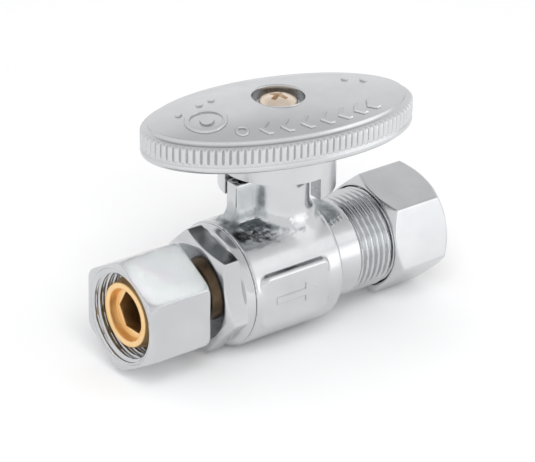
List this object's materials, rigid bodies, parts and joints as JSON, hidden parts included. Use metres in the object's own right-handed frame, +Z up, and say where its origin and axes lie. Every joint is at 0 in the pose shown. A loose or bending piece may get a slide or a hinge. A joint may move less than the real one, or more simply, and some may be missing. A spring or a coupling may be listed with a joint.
{
  "type": "quarter-turn straight stop valve",
  "caption": "Chromed quarter-turn straight stop valve with a compression outlet, a swivel-nut inlet with a bare brass tailpiece, and a knurled oval handle.",
  "frame": {"origin": "centre of the floor of the outlet's tube socket, on the pipe line, where the end of the tube stops", "axes": "+X along the pipe line out of the tube socket, +Z up along the stem to the handle, +Y to the side away from the flat pad"},
  "size_m": [0.0751, 0.0334, 0.0501],
  "materials": {
    "body_chrome": "chrome plate on forged brass, faintly uneven around the boss",
    "nut_chrome": "bright polished chrome plate on brass",
    "handle_chrome": "satin-bright chrome plate on die-cast zinc",
    "ball_chrome": "polished chrome plate",
    "bare_brass": "bare machined brass",
    "stem_brass": "turned brass",
    "screw_steel": "bright zinc-plated steel",
    "seal_rubber": "matte black rubber",
    "seat_plastic": "white fluoropolymer"
  },
  "bodies": {
    "valve": {"valve_body": "body_chrome", "end_adapter": "body_chrome", "adapter_o_ring": "seal_rubber", "tailpiece": "bare_brass", "tailpiece_o_ring": "seal_rubber", "inlet_seat": "seat_plastic", "outlet_seat": "seat_plastic"},
    "handle_and_stem": {"handle": "handle_chrome", "handle_screw": "screw_steel", "stem": "stem_brass", "stem_thrust_washer": "seat_plastic", "lower_stem_o_ring": "seal_rubber", "upper_stem_o_ring": "seal_rubber", "ball": "ball_chrome"},
    "swivel_nut": {"swivel_nut": "nut_chrome"},
    "ferrule": {"ferrule": "bare_brass"},
    "compression_nut": {"compression_nut": "nut_chrome"}
  },
  "joints": [
    {"name": "handle_turn", "type": "hinge", "parent": "valve", "child": "handle_and_stem", "pos_m": [-0.0166, 0, 0.02], "axis": [0, 0, -1], "range_deg": [0, 90]},
    {"name": "swivel_nut_spin", "type": "hinge", "parent": "valve", "child": "swivel_nut", "pos_m": [-0.0481, 0, 0], "axis": [1, 0, 0], "continuous": true},
    {"name": "ferrule_travel", "type": "slide", "parent": "valve", "child": "ferrule", "axis": [-1, 0, 0], "range_m": [-0.0029, 0.0011]},
    {"name": "compression_nut_turn", "type": "hinge", "parent": "ferrule", "child": "compression_nut", "pos_m": [0.015, 0, 0], "axis": [-1, 0, 0], "range_deg": [-720, 270]}
  ],
  "couplings": [
    {"joint": "ferrule_travel", "follows": "compression_nut_turn", "m_per_rad": 0.00022457}
  ]
}
